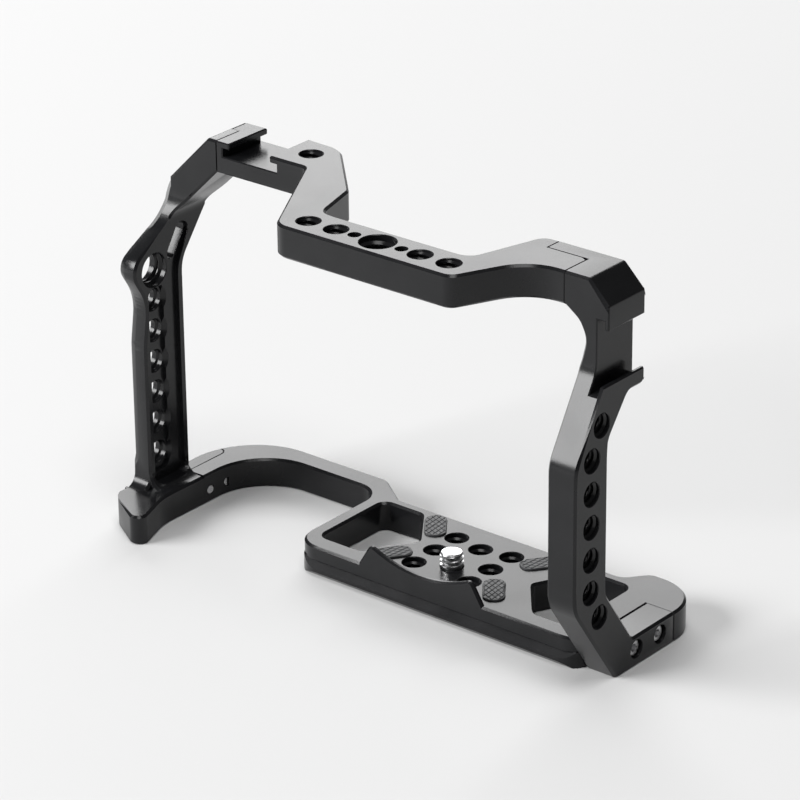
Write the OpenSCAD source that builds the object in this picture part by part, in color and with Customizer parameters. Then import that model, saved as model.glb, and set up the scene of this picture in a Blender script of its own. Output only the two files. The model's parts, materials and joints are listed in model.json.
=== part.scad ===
// Camera cage: a base plate, two uprights and a top bar that frame a camera body.
// Millimetres, +Z up. The origin is where the axis of the camera screw meets the camera seat,
// the top of the base plate. The front (lens) side faces -Y and the grip side is at -X.

/* [Camera space] */
// Height from the camera seat to the underside of the top bar
inner_h = 91.8; // [90:0.1:98]
// Screw axis to the inner face of the far upright
far_inner_x = 52.1; // [51.5:0.1:55]
// Screw axis to the inner face of the grip upright
grip_inner_x = 93.4; // [92.5:0.1:97]

/* [Holes] */
// Pitch of the small tapped holes
hole_pitch = 9; // [8.5:0.1:9.5]
// Diameter of the small tapped holes
tapped_d = 6.35; // [5:0.05:6.35]
// Diameter of the large tapped holes
large_tapped_d = 9.525; // [8:0.05:9.6]
// Diameter of the plain locating holes
pin_hole_d = 3.5; // [2:0.1:4]
// Distance between the two locating holes
pin_spacing = 15; // [14.5:0.1:15.5]
// Countersink at each end of a tapped hole
countersink = 0.2; // [0.1:0.05:0.3]

/* [Base plate] */
// Thickness of the base plate and of both feet
plate_t = 8.4; // [8.2:0.1:10]
// Screw axis to the plate's left edge
plate_left = 43.2; // [42:0.1:45]
// Screw axis to the plate's front edge
plate_front = 13.5; // [13.2:0.1:14.2]
// Screw axis to the plate's rear edge
plate_rear = 22.4; // [22:0.1:23]
// Rounding of the plate's front corners in plan
plate_corner_r = 7.5; // [4:0.1:9]
// Rim between the windows and the plate's front edge
front_rim = 5.75; // [4.5:0.05:6.5]
// Rim between the windows and the plate's rear edge
rear_rim = 3.25; // [2.5:0.05:4]
// Rim between the left window and the plate's left edge
left_rim = 4.45; // [3.5:0.05:6]
// Rim between the right window and the far foot
right_rim = 8.4; // [7.5:0.05:9.5]
// Rounding of the windows' corners
window_r = 2.8; // [1.5:0.1:3.5]
// Screw axis to each outer column of tapped holes
base_hole_x = 9.2; // [9:0.1:9.6]
// Screw axis to the rear row of tapped holes
base_hole_rear = 13.6; // [13.3:0.1:13.9]
// Screw axis to the single tapped hole behind it
centre_hole_y = 12.1; // [11.6:0.1:13]

/* [Dovetail] */
// Width across the dovetail
dovetail_w = 38; // [37.8:0.1:39]
// Height of the dovetail's upright nose
dovetail_nose = 0.9; // [0.5:0.1:1.2]
// Bevel between the nose and the plate's underside
dovetail_bevel = 1.4; // [1:0.1:1.8]
// Depth of the neck behind the plate's front edge
neck_depth = 1.1; // [0.8:0.1:1.4]
// Half length of the rear dovetail
rear_dovetail_half = 34; // [28:0.5:35]

/* [Front lip] */
// Thickness of the lip
lip_t = 1.6; // [1.4:0.1:2]
// Half width of the lip where it leaves the plate
lip_half = 20.5; // [19:0.1:21.5]
// Height of the lip in the middle
lip_low = 2.2; // [1.8:0.1:2.6]
// Height at which the lip's sides would meet its hollow
lip_peak = 6.2; // [5.6:0.1:6.4]
// Radius of the hollow in the lip's top
lip_hollow_r = 36; // [33:0.5:40]
// Rounding of the lip's two peaks
lip_peak_r = 1.6; // [0.8:0.1:1.8]

/* [Arm behind the battery door] */
// Screw axis to the arm's front face
arm_front = 23.2; // [22.8:0.1:24]
// Width of the arm where it crosses behind the battery door
arm_w = 6.8; // [5.8:0.1:7.5]
// Screw axis to the arm's inner side beside the grip foot
arm_inner_x = 87.5; // [87:0.1:88.5]
// Width of the arm's tongue beside the foot's tab
tongue_w = 5.8; // [5.6:0.1:6]
// Width of the foot's tab beside the arm's tongue
tab_w = 4.7; // [4.5:0.1:4.9]
// Start of the tongue behind the screw axis
tongue_front = 0.7; // [0.7:0.1:1]
// Length of the foot's tab
tab_l = 16.1; // [15:0.1:17]
// Rounding of the arm's outer corner
arm_outer_r = 21.5; // [16:0.5:21.5]
// Rounding of the arm's inner corner
arm_inner_r = 16.6; // [13:0.5:16.6]

/* [Top bar] */
// Height of the top bar
bar_h = 8.8; // [8:0.1:10]
// Screw axis to the front face of the front bar
bar_front = 35.1; // [34.5:0.1:36]
// Depth of the front bar
bar_depth = 13.1; // [12.6:0.1:14]
// Half length of the front bar's front face
bar_half = 27.8; // [27:0.1:30]
// Half length of the front bar's rear face
bar_rear_half = 23.5; // [22.5:0.1:24]
// Front row of tapped holes, from the front face
bar_hole_inset = 6.55; // [6:0.05:6.8]
// Screw axis to the first small hole of the front row
bar_hole_x = 13.4; // [13.2:0.1:13.8]
// Screw axis to the rear end of the shoe block
shoe_rear = 15.3; // [15:0.1:16]
// Step of the shoe block in front of the screw axis
shoe_front = 0.4; // [0.2:0.1:0.8]
// Right end of the shoe block
shoe_block_x = 47.4; // [47:0.1:49]
// Screw axis to the right side of the shoe's slot
shoe_right_x = 57.5; // [57:0.1:58]
// Extra tapped hole beside the shoe, from the screw axis
side_hole_x = 52.3; // [52:0.1:52.8]
// Extra tapped hole beside the shoe, behind the screw axis
side_hole_y = 7.6; // [6.5:0.1:8.5]

/* [Accessory shoes] */
// Width of the shoe slot
shoe_w = 18.8; // [18.6:0.1:19]
// Height of the slot under the lips
shoe_slot_h = 2.3; // [2.1:0.1:2.5]
// Overhang of each lip
shoe_lip = 2.35; // [1.8:0.05:2.8]
// Depth of the top shoe below the top face
top_shoe_depth = 4.1; // [3.8:0.1:4.4]
// Depth of the side shoe below the outer face
side_shoe_depth = 3.5; // [3.3:0.1:3.8]
// Rail between the seam and the top shoe's slot
rail_w = 2; // [1.8:0.1:2.4]
// Lower edge of the side shoe's slot above the camera seat
side_shoe_z = 71.6; // [71:0.1:72.4]

/* [Far upright] */
// Thickness of the far upright
far_wall = 8.8; // [8.4:0.1:9.5]
// Screw axis to the far upright's front face
far_front = 28; // [27.5:0.1:29]
// Depth of the far upright
far_depth = 13.3; // [13:0.1:14]
// Screw axis to the front face of the top's right end
rail_front = 15.4; // [15:0.1:16]
// Gap between the screw axis and the rear face of the top's right end
rail_rear = 0.4; // [0.2:0.1:0.8]
// Height of the upper knee of the far upright
upper_knee_z = 55.2; // [54.5:0.1:56]
// Height of the lower knee of the far upright
lower_knee_z = 16.9; // [16.4:0.1:17.4]
// Screw axis to the far foot's front lower edge
far_toe = 10.6; // [10:0.1:11]
// Length of the far foot behind the screw axis
far_foot_l = 14.45; // [14:0.05:15]
// Bevel between the top and the outer face
corner_cut = 6; // [4.5:0.1:7]
// Lowest of the five tapped holes in line
far_hole_z = 20; // [19.5:0.1:20.5]
// Inset of the line of tapped holes from the front face
far_hole_inset = 6.6; // [6.2:0.1:7]
// Set back of the first and last tapped hole
far_end_hole_back = 3.8; // [3.4:0.1:4.2]

/* [Grip upright] */
// Thickness of the grip upright
grip_wall = 6.4; // [6.2:0.1:7.5]
// Screw axis to the grip upright's front face
grip_front = 14.4; // [14:0.1:15]
// Rear face of the grip upright behind the screw axis
grip_rear = 1; // [0.8:0.1:1.4]
// Width of the grip frame's top end in front
cap_w = 3; // [2.8:0.1:3.4]
// Length of the seam's front stretch behind the screw axis
seam_step_y = 9; // [8.5:0.1:9.5]
// Lowest tapped hole of the grip upright
grip_hole_z = 8.6; // [8.2:0.1:9.2]
// Inset of the tapped holes from the front face
grip_hole_inset = 5.8; // [5.5:0.1:6]
// Height of the large tapped hole
grip_large_z = 63; // [62.6:0.1:63.4]
// Inset of the large tapped hole from the front face
grip_large_inset = 4.7; // [4.5:0.1:4.9]
// Depth of the wide pocket
pocket_depth = 1.2; // [0.8:0.1:1.4]
// Further depth of the strip that holds the tapped holes
strip_depth = 1; // [0.6:0.1:1.2]
// Rim left in front of and behind the pockets
pocket_rim = 1.9; // [1.5:0.1:2.1]
// Width of the strip that holds the tapped holes
strip_w = 7.1; // [6.9:0.1:7.3]
// Width of the strap slot
strap_slot_w = 4.6; // [4.2:0.1:4.8]
// Length of the strap slot
strap_slot_l = 11; // [9:0.1:11.4]
// Fillet between the grip upright and its foot
foot_fillet = 5; // [3:0.1:5.4]

/* [Pads] */
// Height of the rubber pads above the seat
pad_proud = 0.5; // [0.3:0.05:0.8]
// Depth of the recess that holds a pad
pad_recess = 0.6; // [0.4:0.05:1]

/* [Camera screw] */
// Diameter over the camera screw's thread
screw_d = 6.35; // [6:0.05:6.35]
// Height of the screw's tip above the seat
screw_tip_z = 4.3; // [4:0.1:5]
// Diameter of the screw's neck
neck_d = 4.6; // [4:0.1:4.8]
// Diameter of the screw's head
screw_head_d = 11.4; // [10.5:0.1:11.6]
// Thickness of the screw's head
screw_head_t = 2.7; // [2.3:0.1:2.8]
// Upward travel of the screw in the plate
screw_travel = 1.2; // [0.8:0.1:1.4]
// Thickness of the washer on the screw's head
washer_t = 0.5; // [0.4:0.05:0.6]
// Distance that the head stays inside the underside
head_inset = 0.5; // [0.3:0.1:0.6]

/* [Joining screws] */
// Diameter of the joining screws
join_d = 2.6; // [2.4:0.1:2.8]
// Diameter of their heads
join_head_d = 4.5; // [4.2:0.1:4.6]
// Height of their heads
join_head_h = 2.3; // [2:0.1:2.4]
// Width across the flats of their sockets
join_socket = 2; // [1.5:0.1:2.2]
// Length of their shanks
join_l = 9; // [7:0.1:9.4]
// Distance between the two screws of the far foot
far_foot_pitch = 10.1; // [9:0.1:11]
// Distance between the two screws of the grip foot
grip_foot_pitch = 6.8; // [6.4:0.1:7.2]

/* [Hidden] */

$fn = 64;
// Gap in each seam between two pieces of the frame
seam = 0.04;
// Overrun of every cut
over = 1;
// Largest distance between a round outline and its chords
arc_sag = 0.02;
// Clearance of a shank in its hole, on the radius
screw_fit = 0.05;
// Clearance of a head in its counterbore, on the radius
head_fit = 0.35;
// Gap between a moving face and its stop
stop_gap = 0.05;
// Gap around a pad in its recess
pad_gap = 0.1;

// Levels and planes worked out from the driving sizes
bar_z = inner_h + bar_h;
far_outer_x = far_inner_x + far_wall;
grip_outer_x = grip_inner_x + grip_wall;
arm_rear = arm_front + arm_w;
tongue_outer_x = arm_inner_x + tongue_w;
arm_outer_x = tongue_outer_x + tab_w;
foot_outer_x = max(grip_outer_x, arm_outer_x);
bar_rear = bar_front - bar_depth;
bar_hole_y = bar_front - bar_hole_inset;
far_rear = far_front - far_depth;
body_mid = (plate_rear - plate_front) / 2;
dovetail_front = dovetail_w / 2 - body_mid;
dovetail_rear = dovetail_w / 2 + body_mid;
nose_bottom = -plate_t + dovetail_bevel;
nose_top = nose_bottom + dovetail_nose;
neck_y = plate_front - neck_depth;
neck_z = nose_top + dovetail_front - neck_y;
window_front = plate_front - front_rim;
window_rear = plate_rear - rear_rim;
shoe_left_x = shoe_right_x + shoe_w;
seam_x = shoe_left_x + rail_w;
cap_outer_x = seam_x + cap_w;

// Round outlines

// Unit vector
function unit(v) = v / norm(v);

// Points of an arc of radius r about c, from angle a through sweep s
function arc(c, r, a, s) =
    let (steps = max(1, ceil(abs(s) / (2 * acos(1 - min(arc_sag / r, 0.5))))))
    [for (i = [0 : steps]) c + r * [cos(a + s * i / steps), sin(a + s * i / steps)]];

// Shortest turn from angle a to angle b
function turn(a, b) = (b - a) - 360 * round((b - a) / 360);

// The corner at b between a and c, rounded with radius r
function corner(a, b, c, r) =
    r == 0 ? [b] :
    let (
        u = unit(a - b),
        v = unit(c - b),
        half = acos(u * v) / 2,
        centre = b + unit(u + v) * r / sin(half),
        start = b + u * r / tan(half) - centre,
        finish = b + v * r / tan(half) - centre,
        a0 = atan2(start[1], start[0]),
        a1 = atan2(finish[1], finish[0])
    )
    arc(centre, r, a0, turn(a0, a1));

// The first two numbers of a corner [x, y, radius]
function place(p) = [p[0], p[1]];

// A closed outline from corners [x, y, radius]
function rounded(p) = [
    for (i = [0 : len(p) - 1])
        each corner(
            place(p[(i + len(p) - 1) % len(p)]),
            place(p[i]),
            place(p[(i + 1) % len(p)]),
            p[i][2]
        )
];

// A share table [x share, y share, radius share] at real size
function spread(shares, x, y, r) = [for (s = shares) [s[0] * x, s[1] * y, s[2] * r]];

// Extrusions

// A plan outline between two heights
module plan(points, low, high) {
    translate([0, 0, low])
        linear_extrude(high - low)
            polygon(points);
}

// A side outline [y, z] between two places along X
module side(points, left, right) {
    translate([left, 0, 0])
        rotate([90, 0, 90])
            linear_extrude(right - left)
                polygon(points);
}

// A front outline [x, z] between two places along Y
module front(points, near, far) {
    translate([0, far, 0])
        rotate([90, 0, 0])
            linear_extrude(far - near)
                polygon(points);
}

// A hole along +Z from the origin, with a countersink at both ends
module tapped(d, length) {
    r = d / 2;
    translate([0, 0, -over])
        cylinder(r = r, h = length + 2 * over);
    translate([0, 0, -over])
        cylinder(r1 = r + countersink + over, r2 = r, h = countersink + over);
    translate([0, 0, length - countersink])
        cylinder(r1 = r, r2 = r + countersink + over, h = countersink + over);
}

// The same hole along +X
module tapped_x(d, length) {
    rotate([0, 90, 0])
        tapped(d, length);
}

// A joining screw along +Z, its seat at the origin and its head below
module join_screw() {
    difference() {
        union() {
            translate([0, 0, -join_head_h])
                cylinder(d = join_head_d, h = join_head_h);
            cylinder(d = join_d, h = join_l);
        }
        translate([0, 0, -join_head_h - over])
            cylinder(
                d = join_socket / cos(180 / hex_sides),
                h = join_head_h * socket_share + over,
                $fn = hex_sides
            );
    }
}
hex_sides = 6;
socket_share = 0.55;

// The room for a joining screw, open on the head's side
module join_room() {
    translate([0, 0, -join_head_h * room_share])
        cylinder(d = join_head_d + 2 * head_fit, h = join_head_h * room_share);
    translate([0, 0, -over])
        cylinder(d = join_d + 2 * screw_fit, h = join_l + screw_end + over);
}
room_share = 4;
// Depth of a tapped joining hole past its screw
screw_end = 0.4;

// Places of the joining screws: their seats, with the head on the side that they point away from

// Depth of the far foot's heads inside its outer face
far_head_inset = 0.9;
far_foot_seat_x = far_outer_x - far_head_inset - join_head_h;
far_screw_share = 0.45;
far_foot_screw_z = -far_screw_share * plate_t;
far_foot_screw_y = 8.5;

module at_far_foot(i) {
    translate([far_foot_seat_x, far_foot_screw_y - i * far_foot_pitch, far_foot_screw_z])
        rotate([0, -90, 0])
            children();
}

grip_screw_share = 0.595;
grip_foot_screw_z = -grip_screw_share * plate_t;
grip_foot_inset = 2.4;
grip_foot_screw_y = tongue_front + grip_foot_inset;

module at_grip_foot(i) {
    translate([-arm_inner_x - join_l, grip_foot_screw_y + i * grip_foot_pitch, grip_foot_screw_z])
        rotate([0, 90, 0])
            children();
}

// Height of the grip's top screws in the bar, halfway between its underside and the shoe's floor
grip_top_screw_z = inner_h + (bar_h - top_shoe_depth) / 2;
// Thread engagement of a grip top screw past the seam
grip_top_grip = 5.4;
// First top screw behind the shoe's front face, and the distance to the next
grip_top_inset = 3.4;
grip_top_pitch = 8.8;

module at_grip_top(i) {
    translate([
        -seam_x + grip_top_grip - join_l,
        -shoe_front + grip_top_inset + i * grip_top_pitch,
        grip_top_screw_z
    ])
        rotate([0, 90, 0])
            children();
}

// Lap at the right end of the top bar
lap_x = 35;
lap_end_x = 47.4;
lap_y = 5.8;
lap_r = 1;
// Distance between the two lap screws, and the depth of their heads
lap_screw_pitch = 5.6;
lap_head_inset = 0.4;

module at_far_top(i) {
    translate([
        (lap_x + lap_end_x) / 2 + (i - 0.5) * lap_screw_pitch,
        -rail_rear - lap_head_inset - join_head_h,
        inner_h + bar_h / 2
    ])
        rotate([90, 0, 0])
            children();
}

// Base plate

// Corner radii of the base plate's plan
arm_root_r = 7.2;
arm_end_r = 3;
back_corner_r = 2;
lobe_r = 13;
lobe_blend_r = 4;
far_front_r = 6;
tab_end_r = 2.4;

// The lobe behind the far foot
lobe_x = 43.6;
lobe_root_x = 38.6;
lobe_rear = 28.7;
// The oblique edge from the arm to the plate's rear edge
oblique_x = 46.5;
oblique_end_x = 36;

base_corners = [
    [-plate_left, -plate_front, plate_corner_r],
    [far_inner_x - seam, -plate_front, far_front_r],
    [far_inner_x - seam, far_foot_l + seam, 0],
    [far_outer_x, far_foot_l + seam, 0],
    [far_outer_x, lobe_rear, lobe_r],
    [lobe_x, lobe_rear, lobe_blend_r],
    [lobe_root_x, plate_rear, lobe_blend_r],
    [-oblique_end_x, plate_rear, back_corner_r],
    [-oblique_x, arm_rear, arm_end_r],
    [-arm_outer_x, arm_rear, arm_outer_r],
    [-arm_outer_x, tongue_front, 0],
    [-arm_inner_x, tongue_front, 0],
    [-arm_inner_x, arm_front, arm_inner_r],
    [-plate_left, arm_front, arm_root_r]
];

// The place of the grip foot's tab in the arm's outer side, grown by a gap
function tab_corners(gap) = [
    [-arm_outer_x - over, -over, 0],
    [-tongue_outer_x + gap, -over, 0],
    [-tongue_outer_x + gap, tongue_front + tab_l + gap, tab_end_r],
    [-arm_outer_x - over, tongue_front + tab_l + gap, 0]
];

// Windows: x as shares of the plate's left size, y as shares of its rear size
left_window_shares = [
    [-0.59, 0.855, 0.9],
    [-0.366, 0.259, 0.7],
    [-0.51, -0.067, 2.2],
    [-0.56, -0.346, 1]
];
right_window_shares = [
    [0.766, -0.346, 1],
    [0.532, 0.214, 0.55],
    [0.708, 0.855, 0.9]
];

// Past these shares a corner lies on the window's rear or front edge
rear_edge_share = 0.8;
front_edge_share = -0.3;

function window_y(share) =
    share > rear_edge_share ? window_rear :
    share < front_edge_share ? -window_front :
    share * plate_rear;

function window_corners(shares) = [
    for (s = shares) [s[0] * plate_left, window_y(s[1]), s[2] * window_r]
];

left_window = concat(
    [
        [-plate_left + left_rim, -window_front, window_r],
        [-plate_left + left_rim, window_rear, window_r]
    ],
    window_corners(left_window_shares)
);
right_window = concat(
    [
        [far_inner_x - right_rim, window_rear, window_r],
        [far_inner_x - right_rim, -window_front, window_r]
    ],
    window_corners(right_window_shares)
);

// Section of the front dovetail, and of the rear one as its mirror image
dovetail_section = [
    [-neck_y, neck_z],
    [-dovetail_front, nose_top],
    [-dovetail_front, nose_bottom],
    [-dovetail_front + dovetail_bevel, -plate_t],
    [0, -plate_t],
    [0, neck_z]
];

// Slope of the lip's sides
lip_side_share = 0.61;
// Half length of the lip's hollow as a share of its radius
lip_hollow_share = 0.375;
lip_sweep = asin(lip_hollow_share);
lip_corners = concat(
    [
        [lip_half + over * lip_side_share, -over, 0],
        [lip_half - lip_peak * lip_side_share, lip_peak, lip_peak_r]
    ],
    [
        for (p = arc([0, lip_low + lip_hollow_r], lip_hollow_r, lip_sweep - 90, -2 * lip_sweep))
            [p[0], p[1], 0]
    ],
    [
        [-lip_half + lip_peak * lip_side_share, lip_peak, lip_peak_r],
        [-lip_half - over * lip_side_share, -over, 0]
    ]
);

// Depth of the cone that the thread's lower end hangs in
seat_cone = 0.55;
// Clearance of the screw's neck in its hole, on the radius
neck_fit = 0.45;
// Counterbore and hole of the camera screw
counterbore_d = screw_head_d + 2 * head_fit + stop_gap * 2;
screw_hole_d = neck_d + 2 * neck_fit;
head_low = -plate_t + head_inset;
head_high = head_low + screw_head_t;
washer_high = head_high + stop_gap + washer_t;
counterbore_top = washer_high + screw_travel + stop_gap;

base_holes = [
    for (x = [-base_hole_x, base_hole_x])
        for (row = [0 : 2])
            [x, base_hole_rear - row * hole_pitch],
    [0, centre_hole_y]
];

module base_plate() {
    color("#26272a")
        difference() {
            union() {
                plan(rounded(base_corners), neck_z, 0);
                difference() {
                    plan(rounded(base_corners), -plate_t, neck_z);
                    translate([-grip_outer_x, -plate_front - over, -plate_t - over])
                        cube([
                            2 * grip_outer_x,
                            plate_front + over - neck_y + front_rim,
                            plate_t + over + neck_z
                        ]);
                }
                front_dovetail();
                rear_dovetail();
                front(rounded(lip_corners), -plate_front, -plate_front + lip_t);
            }
            rear_groove();
            plan(rounded(tab_corners(0)), -plate_t - over, over);
            plan(rounded(left_window), -plate_t - over, over);
            plan(rounded(right_window), -plate_t - over, over);
            for (p = base_holes)
                translate([p[0], p[1], -plate_t])
                    tapped(tapped_d, plate_t);
            screw_room();
            pad_room(pad_rear_left);
            pad_room(pad_rear_right);
            pad_room(pad_front_left);
            pad_room(pad_front_right);
            for (i = [0, 1]) {
                at_far_foot(i)
                    join_room();
                at_grip_foot(i)
                    join_room();
            }
        }
}

// The part of the front dovetail that the plate's rounded plan leaves
module front_dovetail() {
    intersection() {
        side(dovetail_section, -plate_left, far_inner_x - seam);
        plan(
            rounded([
                [-plate_left, -dovetail_front, plate_corner_r + dovetail_front - plate_front],
                [far_inner_x - seam, -dovetail_front, far_front_r + dovetail_front - plate_front],
                [far_inner_x - seam, plate_rear, 0],
                [-plate_left, plate_rear, 0]
            ]),
            -plate_t - over,
            over
        );
    }
}

module rear_dovetail() {
    intersection() {
        translate([0, 2 * body_mid, 0])
            mirror([0, 1, 0])
                side(dovetail_section, -rear_dovetail_half, rear_dovetail_half);
        plan(
            rounded([
                [-rear_dovetail_half, body_mid, 0],
                [rear_dovetail_half, body_mid, 0],
                [rear_dovetail_half, dovetail_rear, lobe_blend_r],
                [-rear_dovetail_half, dovetail_rear, lobe_blend_r]
            ]),
            -plate_t - over,
            over
        );
    }
}

// The groove over the rear dovetail
module rear_groove() {
    side(
        [
            [plate_rear - neck_depth, neck_z],
            [dovetail_rear + over, neck_z - neck_depth - dovetail_rear - over + plate_rear],
            [dovetail_rear + over, neck_z]
        ],
        -rear_dovetail_half,
        rear_dovetail_half
    );
}

module screw_room() {
    translate([0, 0, -plate_t - over])
        cylinder(d = counterbore_d, h = plate_t + over + counterbore_top);
    translate([0, 0, -plate_t])
        cylinder(d = screw_hole_d, h = plate_t + over);
    translate([0, 0, -seat_cone])
        cylinder(d1 = screw_hole_d, d2 = screw_hole_d + 2 * (seat_cone + over), h = seat_cone + over);
}

module pad_room(p) {
    plan(rounded(pad_corners(p, pad_gap)), -pad_recess, over);
}

// Grip side frame

// Oblique side outline of the grip upright's rear: steepness of its upper half
grip_slope_share = 1.32;
// Large and small bends of the uprights' outlines
bend_r = 10;
edge_r = 1.2;

// Grip upright's front edge above its lower stretch: y shares of its front size, z shares of the height
grip_front_shares = [
    [-1, 0.456, 2],
    [-0.875, 0.591, 1.2],
    [-1.351, 0.713, 0.55],
    [0, 0.842, 1.2]
];

// Height at which the rear edge of the grip upright starts to slope back
knee_share = 0.682;
knee_z = inner_h * knee_share;

grip_side_outline = concat(
    [
        [-grip_front, -plate_t, 0],
        [grip_rear, -plate_t, 0],
        [grip_rear, knee_z, bend_r],
        [shoe_rear, knee_z + (shoe_rear - grip_rear) * grip_slope_share, bend_r / 2],
        [shoe_rear, bar_z, 0],
        [-shoe_front, bar_z, 0],
        [-shoe_front, inner_h * grip_front_shares[3][1], bend_r * grip_front_shares[3][2]]
    ],
    [
        for (i = [2 : -1 : 0])
            [
                grip_front_shares[i][0] * grip_front,
                grip_front_shares[i][1] * inner_h,
                grip_front_shares[i][2] * bend_r
            ]
    ]
);
// Steepness of the slope under the grip side's upper corner
inner_slope_share = 0.98;
grip_front_outline = [
    [-seam_x - seam, bar_z, 0],
    [-cap_outer_x, bar_z, edge_r],
    [-grip_outer_x, bar_z - (grip_outer_x - cap_outer_x), bend_r / 2],
    [-grip_outer_x, -plate_t, 0],
    [-grip_inner_x, -plate_t, 0],
    [-grip_inner_x, inner_h - (grip_inner_x - seam_x) * inner_slope_share, bend_r / 2],
    [-seam_x - seam, inner_h, 0]
];

// Plan of the grip foot, from the tongue forward to the nose
foot_reach = 18.9;
// Places of the foot's outer and inner bend as shares of its reach
foot_outer_share = 0.413;
foot_inner_share = 0.085;
foot_flare = 6.2;
foot_outer_r = 8;
foot_nose_r = 2.6;
foot_inner_r = 20;
foot_corners = [
    [-foot_outer_x, tongue_front, 0],
    [-foot_outer_x, -grip_front - foot_reach * foot_outer_share, foot_outer_r],
    [-arm_inner_x + foot_flare, -grip_front - foot_reach, foot_nose_r],
    [-arm_inner_x, -grip_front - foot_reach * foot_inner_share, foot_inner_r],
    [-arm_inner_x, tongue_front - seam, 0],
    [-tongue_outer_x - seam, tongue_front - seam, 0],
    [-tongue_outer_x - seam, tongue_front, 0]
];

// Number of small tapped holes in the grip upright
grip_holes = 6;
// Pocket: lower end, and the top of its wide part above the last tapped hole
pocket_low = 0.8;
pocket_end_share = 0.5;
pocket_high = grip_hole_z + (grip_holes - 1 + pocket_end_share) * hole_pitch - seam;
pocket_front_y = grip_front - pocket_rim;
pocket_rear_share = 0.8;
pocket_rear_y = grip_rear - pocket_rim * pocket_rear_share;
pocket_r = 2.4;
strip_end_share = 0.55;
strip_low = grip_hole_z - hole_pitch * strip_end_share;

// The strap slot: its middle, its tilt from upright, and the rounding of its ends
strap_y = -0.6;
strap_z = 68.6;
strap_lean = 5;
strap_tilt = atan(1 / grip_slope_share) - strap_lean;
strap_end_share = 0.96;
strap_along = [sin(strap_tilt), cos(strap_tilt)] * strap_slot_l / 2;
strap_across = [cos(strap_tilt), -sin(strap_tilt)] * strap_slot_w / 2;
strap_corners = [
    for (c = [[1, 1], [1, -1], [-1, -1], [-1, 1]])
        [
            strap_y + c[0] * strap_along[0] + c[1] * strap_across[0],
            strap_z + c[0] * strap_along[1] + c[1] * strap_across[1],
            strap_slot_w / 2 * strap_end_share
        ]
];

module grip_side_frame() {
    color("#202124")
        difference() {
            union() {
                intersection() {
                    front(rounded(grip_front_outline), -bar_front, bar_front);
                    side(rounded(grip_side_outline), -grip_outer_x - over, 0);
                }
                plan(rounded(foot_corners), -plate_t, 0);
                foot_tab();
                inner_foot_fillet();
                front_foot_fillet();
            }
            seam_step();
            grip_pockets();
            for (row = [0 : grip_holes - 1])
                translate([-grip_outer_x, -grip_front + grip_hole_inset, grip_hole_z + row * hole_pitch])
                    tapped_x(tapped_d, grip_wall - pocket_depth - strip_depth);
            translate([-grip_outer_x, -grip_front + grip_large_inset, grip_large_z])
                tapped_x(large_tapped_d, grip_wall);
            side(rounded(strap_corners), -grip_outer_x - over, -grip_inner_x + over);
            for (i = [0, 1]) {
                at_grip_foot(i)
                    join_room();
                at_grip_top(i)
                    join_room();
            }
        }
}

module foot_tab() {
    intersection() {
        plan(rounded(base_corners), -plate_t, 0);
        plan(rounded(tab_corners(-seam)), -plate_t - over, over);
    }
}

// Hollow fillets from the upright to the top of its foot
module inner_foot_fillet() {
    difference() {
        translate([-grip_inner_x - seam, -grip_front, -seam])
            cube([foot_fillet + seam, grip_front + tongue_front - seam, foot_fillet + seam]);
        translate([-grip_inner_x + foot_fillet, -grip_front - over, foot_fillet])
            rotate([-90, 0, 0])
                cylinder(r = foot_fillet, h = grip_front + grip_rear + 2 * over);
    }
}

module front_foot_fillet() {
    difference() {
        translate([-grip_outer_x, -grip_front - front_fillet, -seam])
            cube([grip_wall, front_fillet + seam, front_fillet + seam]);
        translate([-grip_outer_x - over, -grip_front - front_fillet, front_fillet])
            rotate([0, 90, 0])
                cylinder(r = front_fillet, h = grip_wall + 2 * over);
    }
}
front_fillet = 3.6;

// Behind the step, the top bar reaches to the outer edge of the cap
module seam_step() {
    translate([-cap_outer_x - seam, seam_step_y - seam, inner_h - bar_h])
        cube([cap_w + 2 * seam + over, shoe_rear, 3 * bar_h]);
}

module grip_pockets() {
    side(rounded(pocket_outline), -grip_inner_x - pocket_depth, -grip_inner_x + foot_fillet);
    side(
        rounded([
            [-pocket_front_y, strip_low, pocket_r],
            [-pocket_front_y + strip_w, strip_low, pocket_r],
            [-pocket_front_y + strip_w, pocket_high, pocket_r],
            [-pocket_front_y, pocket_high, pocket_r]
        ]),
        -grip_inner_x - pocket_depth - strip_depth,
        -grip_inner_x
    );
}

// Place of the pocket's left edge behind the large hole
channel_left = 4.1;
channel_left_z = 66.6;
// Half width of the pocket's sloping end
channel_half = 2.7;
channel_tilt = atan(1 / grip_slope_share);
channel_end = [2.6, 73.4];
channel_side = [cos(channel_tilt), -sin(channel_tilt)] * channel_half;
// Rounding of that end as a share of its half width
channel_end_share = 0.9;
channel_end_r = channel_half * channel_end_share;
pocket_outline = [
    [-pocket_front_y, pocket_low, pocket_r],
    [pocket_rear_y, pocket_low, pocket_r],
    [pocket_rear_y, knee_z - channel_half / 2, bend_r],
    [channel_end[0] + channel_side[0], channel_end[1] + channel_side[1], channel_end_r],
    [channel_end[0] - channel_side[0], channel_end[1] - channel_side[1], channel_end_r],
    [-channel_left, channel_left_z, channel_half],
    [-channel_left, pocket_high, 0],
    [-pocket_front_y, pocket_high, pocket_r]
];

// Top bar

// Plan of the top bar: bends of its two oblique stretches
jog_x = 27.9;
jog_y = 6.2;
far_jog_x = 30;
far_bend_x = 37.4;
block_rear_x = 48.5;
far_bend_r = 13;
block_r = 9;
jog_r = 4;
bar_corner_r = 2.5;
bar_end_r = 5.5;

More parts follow.
